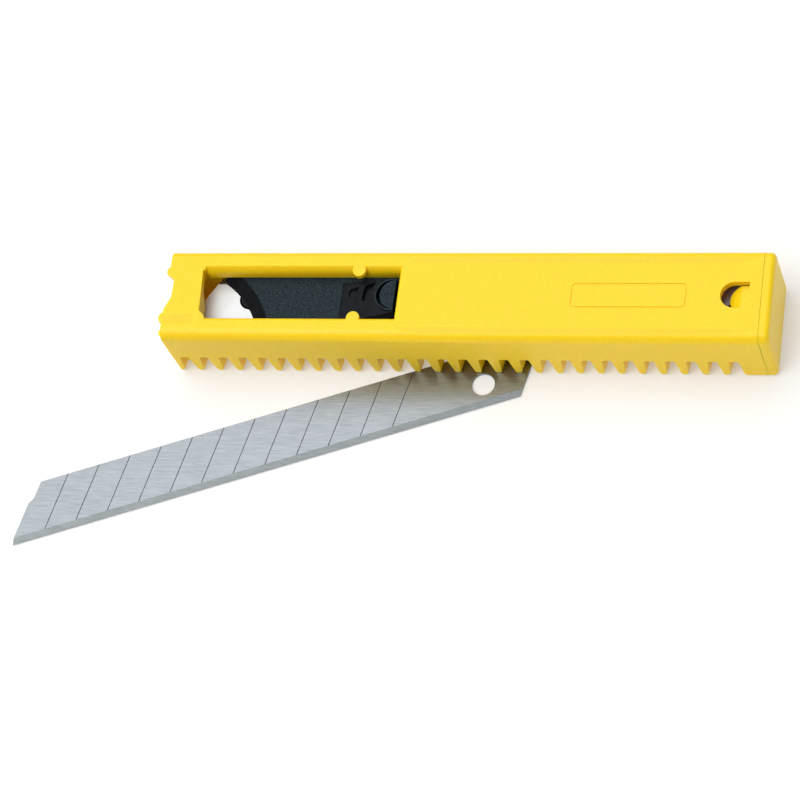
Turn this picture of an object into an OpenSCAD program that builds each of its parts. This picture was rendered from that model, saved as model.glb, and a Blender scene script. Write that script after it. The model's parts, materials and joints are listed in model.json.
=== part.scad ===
// Dispenser for snap-off blades, with one blade taken out and laid on the table.
// Lengths are in millimetres. The case is drawn from its own front left bottom corner:
// X runs along the case to the capped end, Y from the front side to the back, Z up.

/* [Case] */
// Length of the case without its end cap
case_l = 90.1; // [88.5:0.1:100]
// Width of the case
case_w = 14.5; // [14.3:0.1:15]
// Height of the case
case_h = 11.4; // [11.3:0.1:13]
// Rounding of the long top edge at the front
top_r = 1.65; // [1.0:0.05:1.8]
// Rounding of the long top edge at the back
back_r = 1.2; // [1.0:0.05:1.8]
// Thickness of the end cap's outer plate
cap_t = 1.6; // [1.2:0.1:2.5]
// Rounding of the end cap's outer edges
cap_r = 0.8; // [0.4:0.1:1.4]

/* [Toothed rails] */
// Thickness of each toothed rail
rail_t = 1.6; // [1.2:0.1:2.0]
// Distance from tooth to tooth
tooth_pitch = 3.107; // [2.9:0.001:3.12]
// Middle of the first tooth, from the left end
first_tooth = 0.18; // [0:0.01:0.6]
// Number of notches in a rail
notch_count = 28; // [10:1:28]
// Height of the notches above the case's underside
notch_h = 4.3; // [3:0.05:4.5]
// Half width of a notch at its top
notch_top_half = 0.72; // [0.5:0.01:0.9]
// Half width of a notch just above the tooth tips
notch_foot_half = 1.05; // [0.9:0.01:1.13]
// Angle by which each side of a notch narrows inwards
notch_draft = 12; // [0:1:15]

/* [Magazine] */
// Room on each side of a blade
side_play = 0.2; // [0.1:0.05:0.3]
// Height of the floor's underside above the tooth tips
floor_z = 1.0; // [0.6:0.1:1.4]
// Thickness of the floor
floor_t = 0.8; // [0.6:0.1:1.0]
// Height of the guide lips' underside
lip_z = 8.9; // [8.7:0.1:9.2]
// Thickness of the top panel and of the bridge at the left end
panel_t = 1.25; // [1.0:0.05:1.4]

/* [Thumb window] */
// Left edge of the window
window_x0 = 5.65; // [4:0.05:7]
// Right edge of the window
window_x1 = 36.05; // [35.8:0.05:38]
// Front edge of the window
window_y0 = 3.35; // [3.2:0.05:3.5]
// Back edge of the window
window_y1 = 11.2; // [11.0:0.05:11.3]
// Rounding of the window's front edge
window_r = 0.65; // [0.2:0.05:0.8]
// Radius of the bulging wall at the window's back
wall_r = 2.2; // [1.8:0.1:3]
// Place of the two pegs along the window
peg_x = 29.75; // [20:0.05:33]
// Radius of the pegs
peg_r = 1.0; // [0.6:0.1:1.0]
// Height of the two pegs
peg_h = 0.9; // [0.5:0.1:1.0]

/* [Blade] */
// Width of a blade
blade_w = 9.0; // [9:0.1:9.2]
// Thickness of a blade
blade_t = 0.4; // [0.38:0.01:0.45]
// Length of the cutting edge
edge_l = 80.0; // [78:0.1:81]
// Lean of the score lines and of both ends
lean = 32; // [28:0.5:34]
// Width of the ground edge
grind_w = 1.05; // [0.6:0.05:1.4]
// Distance from score line to score line
score_pitch = 5.0; // [4:0.1:6]
// Number of score lines
score_count = 12; // [4:1:13]
// Radius of the hole in the tang
hole_r = 1.75; // [1.55:0.05:1.8]
// Number of blades under the feed blade
stack_count = 8; // [1:1:8]

/* [Slider] */
// Thickness of the slider's plate
plate_t = 1.15; // [1.0:0.05:1.2]
// Radius of the drive pin
pin_r = 1.45; // [1.2:0.05:1.5]
// Radius of the round nose edge
nose_r = 16.7; // [15:0.1:18]
// Length of the nose's slope, along its radius
nose_slope = 2.1; // [1:0.1:3]
// Radius of the rim round the thumb pad
pad_r = 2.6; // [2:0.05:2.6]
// Height of the thumb pad's top above the slider's plate
pad_h = 2.15; // [1.5:0.05:2.2]

/* [Loose blade] */
// Turn of the loose blade on the table
loose_turn = 18.76; // [10:0.01:30]
// Tip of the loose blade, along the case from its left end
loose_x = -22.24; // [-40:0.01:-10]
// Tip of the loose blade, in front of the case
loose_y = -29.46; // [-40:0.01:-26]

/* [Hidden] */
$fn = 64;
eps = 0.01;
mid_y = case_w / 2;

// Heights in the case, from the bottom up.
case_lift = blade_t + 0.05;
mag_z0 = floor_z + floor_t;
feed_z = lip_z - 0.1 - plate_t - 0.03 - blade_t;
stack_top = feed_z - 0.02;
stack_z0 = stack_top - stack_count * blade_t;
carrier_t = 0.8;
carrier_z = stack_z0 - carrier_t;
carrier_recess = 0.4;
plate_z = lip_z - 0.1 - plate_t;
sill_z = stack_top - 0.1;

// Plan of the magazine. The blades in it are turned half round, tang to the left.
mag_y0 = mid_y - blade_w / 2 - side_play;
mag_y1 = mid_y + blade_w / 2 + side_play;
tang_l = edge_l + (blade_w - grind_w) * tan(lean) + 0.6;
stock_x = tang_l + 1.65;
stock_y = mid_y + blade_w / 2;
hole_s = edge_l - 4.95;
hole_v = 3.55;
pin_x = stock_x - hole_s;
pin_y = stock_y - hole_v;

// The snap catch and its hole.
catch_y = 7.28;
catch_x1 = 88.35;
catch_x0 = 86.25;
catch_hole_r = 2.08;
latch_z = feed_z + blade_t + 0.25;
latch_t = lip_z - 0.1 - latch_z;

// The slider and its thumb grip.
plate_top = plate_z + plate_t;
grip_x0 = 26.7;
grip_x1 = window_x1 - 0.5;
pad_x = 35.1;
pad_y = mid_y + 0.15;

// The row's origin is at the middle of the whole object's box, on the table.
origin_x = (loose_x + case_l + cap_t) / 2;
origin_y = (loose_y + case_w) / 2;

STACK = [for (i = [1:stack_count]) str("stack_blade_", i)];

// Places a piece that is drawn in the case's own coordinates.
module in_case() {
    translate([-origin_x, -origin_y, case_lift]) children();
}

// Extrudes a Y-Z outline along X, from x0.
module along_x(x0, length) {
    translate([x0, 0, 0]) rotate([90, 0, 90]) linear_extrude(length) children();
}

// Extrudes an X-Z outline along Y, from y0.
module along_y(y0, length) {
    translate([0, y0 + length, 0]) rotate([90, 0, 0]) linear_extrude(length) children();
}

// A box from its lowest to its highest corner.
module block(low, high) {
    translate(low) cube(high - low);
}

// A rectangle whose corners are rounded, as a sum of plain shapes.
module round_rect(low, high, r) {
    translate([low.x + r, low.y]) square([high.x - low.x - 2 * r, high.y - low.y]);
    translate([low.x, low.y + r]) square([high.x - low.x, high.y - low.y - 2 * r]);
    for (x = [low.x + r, high.x - r], y = [low.y + r, high.y - r]) translate([x, y]) circle(r);
}

// The case's outline seen from its end: square below, rounded along the top edges.
module end_outline() {
    square([case_w, case_h - top_r]);
    translate([top_r, 0]) square([case_w - top_r - back_r, case_h]);
    translate([top_r, case_h - top_r]) circle(top_r);
    translate([case_w - back_r, case_h - back_r]) circle(back_r);
    translate([case_w - back_r, 0]) square([back_r, case_h - back_r]);
}

// One notch between two teeth, with rounded corners and rounded tooth tips beside its foot.
module notch() {
    tip_r = 0.42;
    corner_r = 0.35;
    foot = notch_foot_half + tip_r;
    shoulder = notch_h - corner_r;
    inset = notch_top_half - corner_r;
    polygon([[-notch_foot_half, tip_r], [notch_foot_half, tip_r],
             [notch_top_half, shoulder], [-notch_top_half, shoulder]]);
    translate([-inset, shoulder]) square([2 * inset, corner_r]);
    for (side = [-1, 1]) translate([side * inset, shoulder]) circle(corner_r);
    difference() {
        translate([-foot, -1]) square([2 * foot, 1 + tip_r]);
        for (side = [-1, 1]) translate([side * foot, tip_r]) circle(tip_r);
    }
}

// A notch that narrows from the rail's face inwards: what two skewed cuts have in common.
module tapered_notch() {
    intersection() {
        rotate([0, 0, notch_draft]) along_y(-1, rail_t + 2) notch();
        rotate([0, 0, -notch_draft]) along_y(-1, rail_t + 2) notch();
        block([-2, -0.1, -2], [2, rail_t, notch_h + 1]);
    }
}

// The row of notches that is cut out of the front rail.
module notches() {
    for (i = [0:notch_count - 1])
        translate([first_tooth + (i + 0.5) * tooth_pitch, 0, 0]) tapered_notch();
}

// Where the slanted tang ends of the stacked blades stand, at a place across the magazine.
function tang_x(y) = stock_x - tang_l + (y - (stock_y - blade_w)) * tan(lean);

// The hollow that holds the stack. The foremost corners of the tangs stand near its left wall.
module magazine() {
    gap = 0.25;
    block([tang_x(mag_y0) - gap, mag_y0, mag_z0], [case_l + 1, mag_y1, lip_z]);
}

// The slot at the left end where the slider pushes a blade out, under a bridge that is
// thinner towards the back.
module exit_slot() {
    bridge_z = case_h - panel_t;
    along_x(-2, window_x0 + 2 + eps)
        polygon([[mag_y0, sill_z], [mag_y1, sill_z], [mag_y1, bridge_z], [8.2, bridge_z],
                 [6.2, lip_z], [mag_y0, lip_z]]);
    block([window_x0, mag_y0, sill_z], [window_x1, mag_y1, lip_z]);
}

// What a square corner loses when it is rounded: the corner at the origin, the solid below left.
module corner_waste(r) {
    difference() {
        translate([-r, -r]) square(r + 1);
        translate([-r, -r]) circle(r);
    }
}

// The window seen along the case: its front edge is rounded, and its back wall bulges and
// reaches the top at wall_in behind its foot.
module window_side_view() {
    wall_in = 0.7;
    bulge_h = sqrt(pow(wall_r, 2) - pow(wall_r - wall_in, 2));
    translate([window_y0, lip_z - 1]) square([window_y1 - window_y0, case_h + 2 - lip_z]);
    translate([window_y0, case_h]) corner_waste(window_r);
    translate([window_y1 - eps, case_h - bulge_h]) difference() {
        square([wall_in + 0.5, bulge_h + 1]);
        translate([wall_r + eps, 0]) circle(wall_r);
    }
}

// The window seen from the front, with both ends rounded along the top.
module window_front_view() {
    left_r = 0.25;
    right_r = 0.5;
    translate([window_x0, lip_z - 1]) square([window_x1 - window_x0, case_h + 2 - lip_z]);
    translate([window_x0, case_h]) corner_waste(left_r);
    translate([window_x1, case_h]) mirror([1, 0]) corner_waste(right_r);
}

module thumb_window() {
    end_skew = 0.4;
    intersection() {
        along_x(0, case_l) window_side_view();
        along_y(0, case_w) window_front_view();
    }
    // The left end leans a little: it reaches further at the back.
    translate([window_x0 + eps, 0, lip_z - 1]) linear_extrude(case_h)
        polygon([[0, window_y0 + 1.1], [0, window_y1], [-end_skew, window_y1]]);
}

// A shallow notch in the bridge, which bares the end of the slot.
module finger_notch() {
    depth = 0.9;
    mouth_y0 = 4.6;
    mouth_y1 = 10.3;
    floor_y0 = 6.7;
    floor_y1 = 9.65;
    translate([0, 0, sill_z]) linear_extrude(case_h)
        polygon([[-1, mouth_y0], [0, mouth_y0], [depth, floor_y0], [depth, floor_y1],
                 [0, mouth_y1], [-1, mouth_y1]]);
}

// A rounded rib that stands up the case's left end, its top this far below the case's top.
module end_rib(x, y, r, below) {
    translate([x, y, floor_z]) cylinder(h = case_h - floor_z - below, r = r);
}

// What the bridge's front edge loses where it slopes down to a crease.
module bridge_slope() {
    crease_y = 2.4;
    crease_d = 0.8;
    ridge_y = 3.85;
    above = case_h + 1;
    along_x(-1, window_x0 + 0.3)
        polygon([[crease_y, above], [crease_y, case_h - crease_d], [ridge_y, case_h], [ridge_y, above]]);
}

// The filled front corner of the window's left end.
module corner_fill() {
    left = -0.35;
    front = -0.8;
    back = 1.1;
    right = 0.95;
    translate([window_x0, window_y0, lip_z]) linear_extrude(case_h - lip_z)
        polygon([[left, front], [left, back], [0, back], [0.65, 0.4], [right, 0], [right, front]]);
}

// A long shallow groove beside the panel that fades out at both ends.
module side_groove(y0) {
    groove_w = 0.8;
    groove_d = 0.45;
    fade = 5;
    y1 = y0 + groove_w;
    above = case_h + 0.1;
    hull() {
        along_x(window_x1 + fade, case_l - window_x1 - 2 * fade)
            polygon([[y0, above], [y0, case_h - groove_d], [y1, case_h], [y1, above]]);
        block([window_x1 + 0.2, y0, case_h], [case_l - 0.5, y1, above]);
    }
}

// The D-shaped hole that the cap's catch snaps into.
module catch_hole() {
    translate([catch_x0, catch_y, lip_z - 1]) cylinder(h = case_h, r = catch_hole_r);
    block([catch_x0, catch_y - catch_hole_r, lip_z - 1], [catch_x1, catch_y + catch_hole_r, case_h + 1]);
}

// The outline of a blank label plate, sunk into the panel.
module label_outline() {
    line_w = 0.28;
    line_d = 0.15;
    low = [62.3, 5.05];
    high = [79.4, 9.1];
    corner_r = 0.7;
    translate([0, 0, case_h - line_d]) linear_extrude(1) difference() {
        round_rect(low, high, corner_r);
        round_rect(low + [line_w, line_w], high - [line_w, line_w], corner_r - 0.25);
    }
}

module case_body() {
    recess_x0 = 1.2;
    recess_x1 = case_l - 3;
    front_groove_y = 1.0;
    back_groove_y = 12.5;
    color("#f3e13f") in_case() {
        difference() {
            union() {
                along_x(0, case_l) end_outline();
                // Ribs on the left end: beside the exit slot, and on the front corner.
                end_rib(x = 0.2, y = 11.1, r = 0.8, below = 0.4);
                end_rib(x = 0.33, y = 3.45, r = 1.15, below = 0.6);
                end_rib(x = 0.2, y = 1.05, r = 0.7, below = 0.8);
            }
            magazine();
            exit_slot();
            finger_notch();
            thumb_window();
            // Hollow under the panel, between the guide lips.
            block([window_x1 - eps, window_y0, lip_z - 1], [catch_x1, window_y1, case_h - panel_t]);
            // Recess under the floor, between the two rails.
            block([recess_x0, rail_t, -1], [recess_x1, case_w - rail_t, floor_z]);
            notches();
            translate([0, case_w, 0]) mirror([0, 1, 0]) notches();
            side_groove(front_groove_y);
            side_groove(back_groove_y);
            bridge_slope();
            catch_hole();
            label_outline();
        }
        // Pegs in the window.
        for (y = [window_y0, window_y1])
            translate([peg_x, y, case_h - peg_h]) cylinder(h = peg_h, r = peg_r);
        corner_fill();
    }
}

// The end cap's outer plate. Its outer edge is rounded by cap_r all along the case's outline.
module cap_plate() {
    x1 = case_l + cap_t;
    x0 = case_l + 0.02;
    plate_w = x1 - x0;
    // Middle part, between the two rounded corners.
    along_y(top_r, case_w - top_r - back_r) intersection() {
        round_rect([x0 - 3, 0], [x1, case_h], cap_r);
        translate([x0, 0]) square([plate_w, case_h]);
    }
    // Sides, up to the rounded corners.
    intersection() {
        along_y(0, case_w) intersection() {
            round_rect([x0 - 3, 0], [x1, case_h + 3], cap_r);
            translate([x0, 0]) square([plate_w, case_h - back_r]);
        }
        linear_extrude(case_h) round_rect([x0 - 3, 0], [x1, case_w], cap_r);
        along_x(x0, plate_w) union() {
            square([case_w, case_h - top_r]);
            translate([case_w / 2, 0]) square([case_w / 2, case_h - back_r]);
        }
    }
    cap_corner(x0, plate_w, top_r, top_r);
    cap_corner(x0, plate_w, case_w - back_r, back_r);
}

// A rounded corner of the end cap's plate: a disc of radius r about y, with a rounded rim.
module cap_corner(x0, plate_w, y, r) {
    translate([x0, y, case_h - r]) rotate([0, 90, 0]) rotate_extrude() intersection() {
        round_rect([-r, -3], [r, plate_w], cap_r);
        square([r, plate_w]);
    }
}

module end_cap() {
    play = 0.1;
    plug_x = stock_x + 0.3;
    plug_top = latch_z - 1.5;
    wall = 1.1;
    skin = 0.9;
    color("#f3e13f") in_case() {
        cap_plate();
        // Plug that closes the magazine, hollow towards the blades.
        difference() {
            block([plug_x, mag_y0 + play, mag_z0 + play], [case_l + 0.3, mag_y1 - play, plug_top]);
            block([plug_x - 1, mag_y0 + wall, mag_z0 + play + skin],
                  [case_l - 0.8, mag_y1 - wall, plug_top - skin]);
        }
    }
}

module cap_latch() {
    play = 0.12;
    catch_flat = catch_x1 - play;
    catch_r = 1.93;
    catch_mid = 87.2;
    catch_top = case_h - 1.1;
    crest_x = 87.05;
    ramp_x = catch_mid - catch_r - eps;
    ramp_z = catch_top - 0.6 * (crest_x - ramp_x);
    color("#f0da30") in_case() {
        block([catch_mid, catch_y - catch_r, latch_z], [case_l + 0.02, catch_y + catch_r, latch_z + latch_t]);
        // Half-disc catch with a ramp that falls to the left.
        intersection() {
            union() {
                translate([catch_mid, catch_y, latch_z]) cylinder(h = catch_top - latch_z, r = catch_r);
                block([catch_mid, catch_y - catch_r, latch_z], [catch_flat, catch_y + catch_r, catch_top]);
            }
            along_y(0, case_w) polygon([[ramp_x, latch_z], [catch_flat, latch_z], [catch_flat, catch_top],
                                        [crest_x, catch_top], [ramp_x, ramp_z]]);
        }
    }
}

// The wedge of the thumb grip: it rises to the right, and its front slopes down to the plate.
module grip_wedge() {
    crumb = 0.02;
    low_z = plate_top + 0.35;
    high_z = plate_top + pad_h - 0.1;
    foot_y0 = 3.6;
    foot_y1 = 10.3;
    left = grip_x0 + 0.8;
    right = grip_x1 - crumb;
    hull() {
        block([grip_x0, foot_y0, plate_top - 0.1], [grip_x1, foot_y1, plate_top]);
        for (y = [pad_y + 0.3, pad_y + 2.1]) translate([left, y, low_z - crumb]) cube(crumb);
        for (y = [foot_y0 + 1, foot_y1 - 0.35]) translate([right, y, high_z - crumb]) cube(crumb);
    }
}

// A crescent groove in the grip: part of a ring round a centre, between two fanned sides.
module crescent(center_y, r_in, r_out, floor_h, fan) {
    translate([0, 0, plate_top + floor_h]) linear_extrude(3) intersection() {
        translate([pad_x, center_y]) difference() {
            circle(r_out);
            circle(r_in);
        }
        polygon(fan);
    }
}

module slider() {
    plate_x0 = 7.85;
    plate_x1 = 40;
    nose_x = -0.1;
    nose_y = -1.5;
    rim_w = 0.22;
    slope = nose_slope / plate_t;
    over = 0.1;
    color("#22272b") in_case() {
        difference() {
            union() {
                block([plate_x0, mid_y - blade_w / 2, plate_z], [plate_x1, mid_y + blade_w / 2, plate_top]);
                grip_wedge();
                // Thumb pad.
                intersection() {
                    translate([pad_x, pad_y, plate_top - 0.1]) cylinder(h = pad_h + 0.1, r = pad_r);
                    block([grip_x0, 0, plate_z], [grip_x1, case_w, case_h]);
                }
            }
            // Round nose that slopes down to the blade.
            translate([nose_x, nose_y, plate_z - over])
                cylinder(h = plate_t + 2 * over, r1 = nose_r - nose_slope - over * slope,
                         r2 = nose_r + over * slope, $fn = 128);
            // Crescent grooves: one inside the pad's rim, and two smaller ones to its left.
            translate([0, 0, plate_top + 0.8]) linear_extrude(3) difference() {
                translate([pad_x, pad_y]) circle(pad_r - rim_w);
                translate([pad_x + 0.6, pad_y]) circle(pad_r - 0.2);
            }
            crescent(center_y = pad_y + 0.2, r_in = 3.55, r_out = 4.85, floor_h = 0.25,
                     fan = [[29.9, 7.15], [32.2, 6.1], [32.2, 9.85], [29.9, 9.3]]);
            crescent(center_y = pad_y + 0.5, r_in = 5.75, r_out = 7.15, floor_h = 0.1,
                     fan = [[27.8, 7.85], [29.5, 7.2], [29.5, 9.4], [27.8, 8.85]]);
        }
        // Drive pin that stands in the feed blade's hole.
        translate([pin_x, pin_y, feed_z]) cylinder(h = plate_z + 0.08 - feed_z, r = pin_r);
    }
}

// Outline of a blade on its side: cutting edge along y = 0, tang at the right.
module blade_outline() {
    end_shift = -0.285;
    jog_v = 6.0;
    jog = 0.6;
    tang_foot = edge_l + jog;
    polygon([[0, 0],
             [end_shift + grind_w * tan(lean), grind_w],
             [end_shift + jog_v * tan(lean), jog_v],
             [end_shift + (jog_v + jog) * tan(lean) + jog, jog_v + jog],
             [end_shift + blade_w * tan(lean) + jog, blade_w],
             [tang_foot + (blade_w - grind_w) * tan(lean), blade_w],
             [tang_foot, grind_w],
             [edge_l, 0]]);
}

// A snap-off blade, lying flat, with its score lines on top.
module blade() {
    land = 0.03;
    score_w = 0.14;
    score_d = 0.05;
    first_score = score_pitch - 0.285;
    difference() {
        intersection() {
            linear_extrude(blade_t) blade_outline();
            along_x(-1, tang_l + 2)
                polygon([[0, blade_t / 2 - land], [grind_w, 0], [blade_w, 0], [blade_w, blade_t],
                         [grind_w, blade_t], [0, blade_t / 2 + land]]);
        }
        translate([hole_s, hole_v, -1]) cylinder(h = 2, r = hole_r);
        for (i = [0:score_count - 1])
            translate([first_score + i * score_pitch + grind_w * tan(lean), grind_w, blade_t - score_d])
                rotate([0, 0, -lean]) translate([-score_w / 2, 0, 0]) cube([score_w, 12, 1]);
    }
}

// A blade in the magazine, turned half round so that its tang points to the exit.
module stocked_blade(z) {
    color("#c9cfd4") in_case() translate([stock_x, stock_y, z]) rotate([0, 0, 180]) blade();
}

module feed_blade() {
    stocked_blade(feed_z);
}

module stack_blade(i) {
    stocked_blade(stack_top - i * blade_t);
}

module pressure_plate() {
    color("#3a3f43") in_case() translate([stock_x, stock_y, carrier_z]) rotate([0, 0, 180]) {
        difference() {
            linear_extrude(carrier_t) blade_outline();
            translate([8, 2.5, -1]) cube([edge_l - 16, blade_w - 5, 1 + carrier_recess]);
        }
    }
}

// A bowed steel strip: its ends stand on the floor and its crown lifts the pressure plate.
module leaf_spring() {
    strip_t = 0.3;
    strip_w = 3.6;
    span = 56;
    steps = 28;
    crown_z = carrier_z + carrier_recess - strip_t;
    middle = stock_x - edge_l / 2;
    bow = [for (i = [0:steps]) let (u = 2 * i / steps - 1)
               [middle + u * span / 2, mag_z0 + (crown_z - mag_z0) * (1 - u * u)]];
    color("#9aa0a5") in_case() along_y(mid_y - strip_w / 2, strip_w)
        polygon(concat(bow, [for (i = [steps:-1:0]) bow[i] + [0, strip_t]]));
}

module loose_blade() {
    color("#c9cfd4") translate([loose_x - origin_x, loose_y - origin_y, 0])
        rotate([0, 0, loose_turn]) blade();
}

case_body();
end_cap();
cap_latch();
slider();
feed_blade();
for (i = [1:stack_count]) stack_blade(i);
pressure_plate();
leaf_spring();
loose_blade();
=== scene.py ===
import json
import math

import bpy
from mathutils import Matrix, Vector


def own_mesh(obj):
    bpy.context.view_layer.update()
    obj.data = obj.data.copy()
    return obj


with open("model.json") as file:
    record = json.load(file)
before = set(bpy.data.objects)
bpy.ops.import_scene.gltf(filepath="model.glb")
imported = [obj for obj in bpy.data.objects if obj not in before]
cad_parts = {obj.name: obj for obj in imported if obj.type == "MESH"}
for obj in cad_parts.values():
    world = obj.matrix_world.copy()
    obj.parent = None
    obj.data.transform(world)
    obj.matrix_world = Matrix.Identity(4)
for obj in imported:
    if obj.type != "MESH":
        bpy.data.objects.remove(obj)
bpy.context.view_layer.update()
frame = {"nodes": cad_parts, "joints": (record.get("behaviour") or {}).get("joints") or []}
MM = 0.001
# A face whose normal's z is above this counts as looking straight up.
LEVEL = 0.985

NODES = frame["nodes"]
JOINTS = {joint["name"]: joint for joint in frame["joints"]}
BLADES = [name for name in NODES if name.endswith("_blade") or name.startswith("stack_blade")]


# ---------------------------------------------------------------- camera, floor and light

def add_camera():
    """A long lens above the front right of the case, level with its long side."""
    data = bpy.data.cameras.new("camera")
    data.sensor_width = 36
    data.lens = 145.8
    data.clip_start = 0.01
    data.clip_end = 10
    camera = bpy.data.objects.new("camera", data)
    camera.rotation_mode = "ZYX"
    camera.location = (0.13266, -0.19224, 0.42119)
    camera.rotation_euler = (0.43407, 0.27763, 0.01220)
    bpy.context.scene.collection.objects.link(camera)
    bpy.context.scene.camera = camera


def add_floor():
    size = 3.0
    mesh = bpy.data.meshes.new("floor")
    corners = [(-size, -size, 0), (size, -size, 0), (size, size, 0), (-size, size, 0)]
    mesh.from_pydata(corners, [], [(0, 1, 2, 3)])
    floor = bpy.data.objects.new("floor", mesh)
    bpy.context.scene.collection.objects.link(floor)
    material, shader, nodes, links = new_material("floor")
    shader.inputs["Base Color"].default_value = (0.66, 0.66, 0.66, 1)
    shader.inputs["Roughness"].default_value = 0.9
    shader.inputs["Emission Color"].default_value = (1, 1, 1, 1)
    shader.inputs["Emission Strength"].default_value = 0.26
    mesh.materials.append(material)


def add_area_light(name, location, target, size, power):
    data = bpy.data.lights.new(name, "AREA")
    data.shape = "SQUARE"
    data.size = size
    data.energy = power
    light = bpy.data.objects.new(name, data)
    light.location = location
    light.rotation_euler = (Vector(target) - Vector(location)).to_track_quat("-Z", "Y").to_euler()
    bpy.context.scene.collection.objects.link(light)


def add_world(dim, bright, axis):
    """A dim studio dome with a large soft bright patch around the axis, like an overhead softbox."""
    world = bpy.data.worlds.new("studio")
    world.use_nodes = True
    nodes, links = world.node_tree.nodes, world.node_tree.links
    direction = nodes.new("ShaderNodeTexCoord")
    toward = nodes.new("ShaderNodeVectorMath")
    toward.operation = "DOT_PRODUCT"
    toward.inputs[1].default_value = Vector(axis).normalized()
    patch = nodes.new("ShaderNodeMapRange")
    patch.interpolation_type = "SMOOTHSTEP"
    patch.inputs["From Min"].default_value = 0.76
    patch.inputs["From Max"].default_value = 0.94
    patch.inputs["To Min"].default_value = dim
    patch.inputs["To Max"].default_value = bright
    links.new(direction.outputs["Generated"], toward.inputs[0])
    links.new(toward.outputs["Value"], patch.inputs["Value"])
    links.new(patch.outputs["Result"], nodes["Background"].inputs["Strength"])
    nodes["Background"].inputs["Color"].default_value = (1, 1, 1, 1)
    bpy.context.scene.world = world


def add_lighting():
    add_world(0.40, 2.2, (-0.27, 0.30, 0.91))
    add_area_light("key", (-0.25, -0.33, 0.91), (0, 0, 0), 0.60, 4.4)
    bpy.context.scene.view_settings.view_transform = "Standard"


# ---------------------------------------------------------------- materials

def new_material(name):
    material = bpy.data.materials.new(name)
    material.use_nodes = True
    nodes = material.node_tree.nodes
    return material, nodes["Principled BSDF"], nodes, material.node_tree.links


def noise(nodes, links, vector, scale, detail=3.0, roughness=0.5):
    node = nodes.new("ShaderNodeTexNoise")
    node.inputs["Scale"].default_value = scale
    node.inputs["Detail"].default_value = detail
    node.inputs["Roughness"].default_value = roughness
    links.new(vector, node.inputs["Vector"])
    return node.outputs["Fac"]


def remap(nodes, links, value, low, high):
    """Maps a noise value, which mostly lies from 0.3 to 0.7, to low and high."""
    node = nodes.new("ShaderNodeMapRange")
    node.inputs["From Min"].default_value = 0.3
    node.inputs["From Max"].default_value = 0.7
    node.inputs["To Min"].default_value = low
    node.inputs["To Max"].default_value = high
    links.new(value, node.inputs["Value"])
    return node.outputs["Result"]


def blend_colors(nodes, links, factor, color_a, color_b):
    node = nodes.new("ShaderNodeMix")
    node.data_type = "RGBA"
    node.inputs["A"].default_value = (*color_a, 1)
    node.inputs["B"].default_value = (*color_b, 1)
    links.new(factor, node.inputs["Factor"])
    return node.outputs["Result"]


def bump(nodes, links, height, distance, strength, normal=None):
    node = nodes.new("ShaderNodeBump")
    node.inputs["Distance"].default_value = distance
    node.inputs["Strength"].default_value = strength
    links.new(height, node.inputs["Height"])
    if normal is not None:
        links.new(normal, node.inputs["Normal"])
    return node.outputs["Normal"]


def object_vector(nodes, links, scale=(1, 1, 1), turn=0.0):
    """The place on the object, in metres, turned about Z and stretched."""
    place = nodes.new("ShaderNodeTexCoord")
    mapping = nodes.new("ShaderNodeMapping")
    mapping.vector_type = "POINT"
    mapping.inputs["Rotation"].default_value = (0, 0, turn)
    mapping.inputs["Scale"].default_value = scale
    links.new(place.outputs["Object"], mapping.inputs["Vector"])
    return mapping.outputs["Vector"]


def case_plastic():
    """Yellow moulded plastic: a little translucent, with a spark-eroded grain and faint flow waves."""
    material, shader, nodes, links = new_material("case_plastic")
    place = object_vector(nodes, links)
    shader.inputs["Specular IOR Level"].default_value = 0.35
    shader.inputs["Subsurface Weight"].default_value = 0.35
    shader.inputs["Subsurface Radius"].default_value = (1.0, 0.5, 0.08)
    shader.inputs["Subsurface Scale"].default_value = 1.5 * MM
    tint = remap(nodes, links, noise(nodes, links, place, 3600, 3, 0.6), 0, 1)
    color = blend_colors(nodes, links, tint, (0.87, 0.585, 0.003), (0.95, 0.652, 0.006))
    links.new(color, shader.inputs["Base Color"])
    rough = remap(nodes, links, noise(nodes, links, place, 2500, 2), 0.32, 0.44)
    links.new(rough, shader.inputs["Roughness"])
    waves = bump(nodes, links, noise(nodes, links, place, 160, 2), 0.05 * MM, 0.25)
    grain = bump(nodes, links, noise(nodes, links, place, 4200, 3, 0.6), 0.018 * MM, 0.7, waves)
    links.new(grain, shader.inputs["Normal"])
    return material


def slider_plastic():
    """Black nylon with a fine matte texture."""
    material, shader, nodes, links = new_material("slider_plastic")
    shader.inputs["Specular IOR Level"].default_value = 0.12
    place = object_vector(nodes, links)
    tint = remap(nodes, links, noise(nodes, links, place, 3800, 3), 0, 1)
    color = blend_colors(nodes, links, tint, (0.001, 0.005, 0.008), (0.022, 0.040, 0.049))
    links.new(color, shader.inputs["Base Color"])
    rough = remap(nodes, links, noise(nodes, links, place, 1200, 2), 0.50, 0.65)
    links.new(rough, shader.inputs["Roughness"])
    grain = bump(nodes, links, noise(nodes, links, place, 4200, 3, 0.6), 0.02 * MM, 0.7)
    links.new(grain, shader.inputs["Normal"])
    return material


def glossy_plastic_painted_shade():
    """The same black nylon where the mould was polished, glossier, with painted shade: a darker colour
    on all but the plate's top and the pad's top.
    """
    material, shader, nodes, links = new_material("slider_gloss_painted_shade")
    shader.inputs["Specular IOR Level"].default_value = 0.06
    place = object_vector(nodes, links)
    # Painted shade: this colour is darker than the matte plate's and stands for the shade on the
    # slider's slopes and sides.
    tint = remap(nodes, links, noise(nodes, links, place, 500, 2), 0, 1)
    color = blend_colors(nodes, links, tint, (0.006, 0.007, 0.009), (0.010, 0.011, 0.014))
    links.new(color, shader.inputs["Base Color"])
    rough = remap(nodes, links, noise(nodes, links, place, 900, 2), 0.22, 0.34)
    links.new(rough, shader.inputs["Roughness"])
    waves = bump(nodes, links, noise(nodes, links, place, 700, 2), 0.02 * MM, 0.5)
    links.new(waves, shader.inputs["Normal"])
    return material


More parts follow.
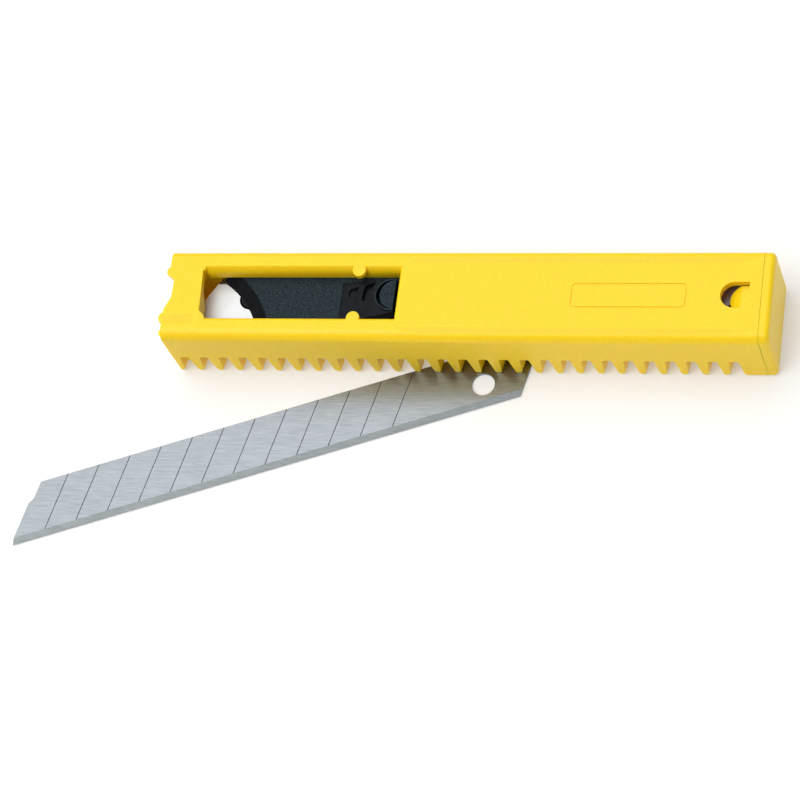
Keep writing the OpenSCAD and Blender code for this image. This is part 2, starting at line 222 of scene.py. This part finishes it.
def blade_steel(name, turn, dark, light, smooth, rough_most):
    """Ground steel: grinding lines along the blade, and faint blotches of oil in its gloss.

    Its colour goes from dark to light, and its roughness from smooth to rough_most."""
    material, shader, nodes, links = new_material(name)
    shader.inputs["Metallic"].default_value = 1.0
    lines = object_vector(nodes, links, (420, 6500, 6500), turn)
    place = object_vector(nodes, links)
    streak = noise(nodes, links, lines, 1, 4, 0.65)
    color = blend_colors(nodes, links, remap(nodes, links, streak, 0, 1), dark, light)
    links.new(color, shader.inputs["Base Color"])
    blotch = noise(nodes, links, place, 320, 4, 0.6)
    links.new(remap(nodes, links, blotch, smooth, rough_most), shader.inputs["Roughness"])
    links.new(bump(nodes, links, streak, 0.0025 * MM, 0.5), shader.inputs["Normal"])
    return material


def plate_plastic():
    """Plain black nylon for the hidden pressure plate."""
    material, shader, nodes, links = new_material("plate_plastic")
    place = object_vector(nodes, links)
    tint = remap(nodes, links, noise(nodes, links, place, 700, 3), 0, 1)
    color = blend_colors(nodes, links, tint, (0.018, 0.020, 0.023), (0.032, 0.035, 0.040))
    links.new(color, shader.inputs["Base Color"])
    shader.inputs["Roughness"].default_value = 0.5
    grain = bump(nodes, links, noise(nodes, links, place, 3000, 2), 0.02 * MM, 0.5)
    links.new(grain, shader.inputs["Normal"])
    return material


def score_steel_painted_shade():
    """The floor of a pressed score line: dull and rough, and painted dark as the shade inside the
    groove.
    """
    material, shader, nodes, links = new_material("score_steel_painted_shade")
    shader.inputs["Metallic"].default_value = 1.0
    place = object_vector(nodes, links)
    # Painted shade: the dark colour stands for the shade inside the score groove.
    color = blend_colors(nodes, links, remap(nodes, links, noise(nodes, links, place, 900, 3), 0, 1),
                         (0.08, 0.087, 0.10), (0.15, 0.162, 0.175))
    links.new(color, shader.inputs["Base Color"])
    rough = remap(nodes, links, noise(nodes, links, place, 2500, 2), 0.5, 0.7)
    links.new(rough, shader.inputs["Roughness"])
    return material


def set_materials(node, main, *others):
    """Gives a node its main material, and each other one to the faces that its test picks."""
    mesh = NODES[node].data
    mesh.materials.clear()
    mesh.materials.append(main)
    for index, (material, is_picked) in enumerate(others, start=1):
        mesh.materials.append(material)
        for polygon in mesh.polygons:
            if is_picked(mesh, polygon):
                polygon.material_index = index


def level_height(polygon):
    """The height of a face that looks straight up, in whole hundredths of a millimetre, or None."""
    return round(100 * polygon.center.z / MM) if polygon.normal.z > LEVEL else None


def beside_largest_levels(mesh, count):
    """A test that picks every face but those in a mesh's largest level areas."""
    areas = {}
    for polygon in mesh.polygons:
        height = level_height(polygon)
        if height is not None:
            areas[height] = areas.get(height, 0) + polygon.area
    largest = sorted(areas, key=areas.get)[-count:]
    return lambda mesh, polygon: level_height(polygon) not in largest


def is_in_score(mesh, polygon):
    """A blade's level faces just below its top: the floors of its score lines."""
    top = max(vertex.co.z for vertex in mesh.vertices)
    return polygon.normal.z > 0.999 and polygon.center.z < top - 0.02 * MM


def is_ground(mesh, polygon):
    """A blade's faces that lean a little: both sides of its cutting edge."""
    return 0.9 < abs(polygon.normal.z) < 0.999


# ---------------------------------------------------------------- rounded edges on the CAD nodes

def soften(node, width, angle=15):
    """Rounds a CAD node's sharp edges and gives it smooth normals, with modifiers only."""
    piece = NODES[node]
    for polygon in piece.data.polygons:
        polygon.use_smooth = True
    weld = piece.modifiers.new("weld", "WELD")
    weld.merge_threshold = 0.002 * MM
    flatten = piece.modifiers.new("flatten", "DECIMATE")
    flatten.decimate_type = "DISSOLVE"
    flatten.angle_limit = math.radians(0.3)
    flatten.delimit = {"NORMAL", "MATERIAL"}
    rounded = piece.modifiers.new("rounded", "BEVEL")
    rounded.width = width
    rounded.segments = 3
    rounded.limit_method = "ANGLE"
    rounded.angle_limit = math.radians(angle)
    rounded.harden_normals = False
    normals = piece.modifiers.new("normals", "WEIGHTED_NORMAL")
    normals.keep_sharp = False


# ---------------------------------------------------------------- which piece gets what

def color_plastics():
    yellow = case_plastic()
    for name in ("case_body", "end_cap", "cap_latch"):
        set_materials(name, yellow)
    # The slider's two largest level areas, its plate's top and its pad's top, are matte; every other
    # face is glossier and painted darker as shade.
    is_glossy_painted_shade = beside_largest_levels(NODES["slider"].data, 2)
    set_materials("slider", slider_plastic(), (glossy_plastic_painted_shade(), is_glossy_painted_shade))
    set_materials("pressure_plate", plate_plastic())


def color_steels():
    """The loose blade's steel is painted darker as shade and the stacked blades' steel lighter as
    painted light, though both are one steel; the loose blade's grinding lines turn with it.
    """
    draw_axis = JOINTS["loose_blade_draw"]["axis"]
    loose_turn = math.atan2(draw_axis[1], draw_axis[0])
    # Painted light: the stacked blades and spring get a lighter copy of the steel, standing for light
    # inside the shaded case.
    stacked_steel_painted_light = blade_steel("blade_steel", 0.0, dark=(0.56, 0.575, 0.59), light=(0.63, 0.645, 0.66),
                                smooth=0.50, rough_most=0.58)
    # Painted shade: the loose blade gets a darker copy of the same steel, so that its reflection of the
    # bright patch is dimmed.
    loose_steel_painted_shade = blade_steel("blade_steel_loose_painted_shade", -loose_turn, dark=(0.200, 0.222, 0.246),
                              light=(0.286, 0.304, 0.320), smooth=0.27, rough_most=0.36)
    ground_steel = blade_steel("ground_steel", -loose_turn, dark=(0.105, 0.118, 0.120),
                               light=(0.165, 0.178, 0.180), smooth=0.30, rough_most=0.38)
    score = score_steel_painted_shade()
    for name in BLADES:
        steel = loose_steel_painted_shade if name == "loose_blade" else stacked_steel_painted_light
        set_materials(name, steel, (score, is_in_score), (ground_steel, is_ground))
    set_materials("leaf_spring", stacked_steel_painted_light)


def press_spring():
    """Gives the spring strip its own copy of its mesh; nothing here flattens it towards the case's
    floor.
    """
    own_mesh(NODES["leaf_spring"])


add_camera()
add_floor()
add_lighting()
color_plastics()
color_steels()
press_spring()

soften("case_body", 0.16 * MM)
soften("end_cap", 0.08 * MM)
soften("cap_latch", 0.12 * MM)
soften("slider", 0.12 * MM)
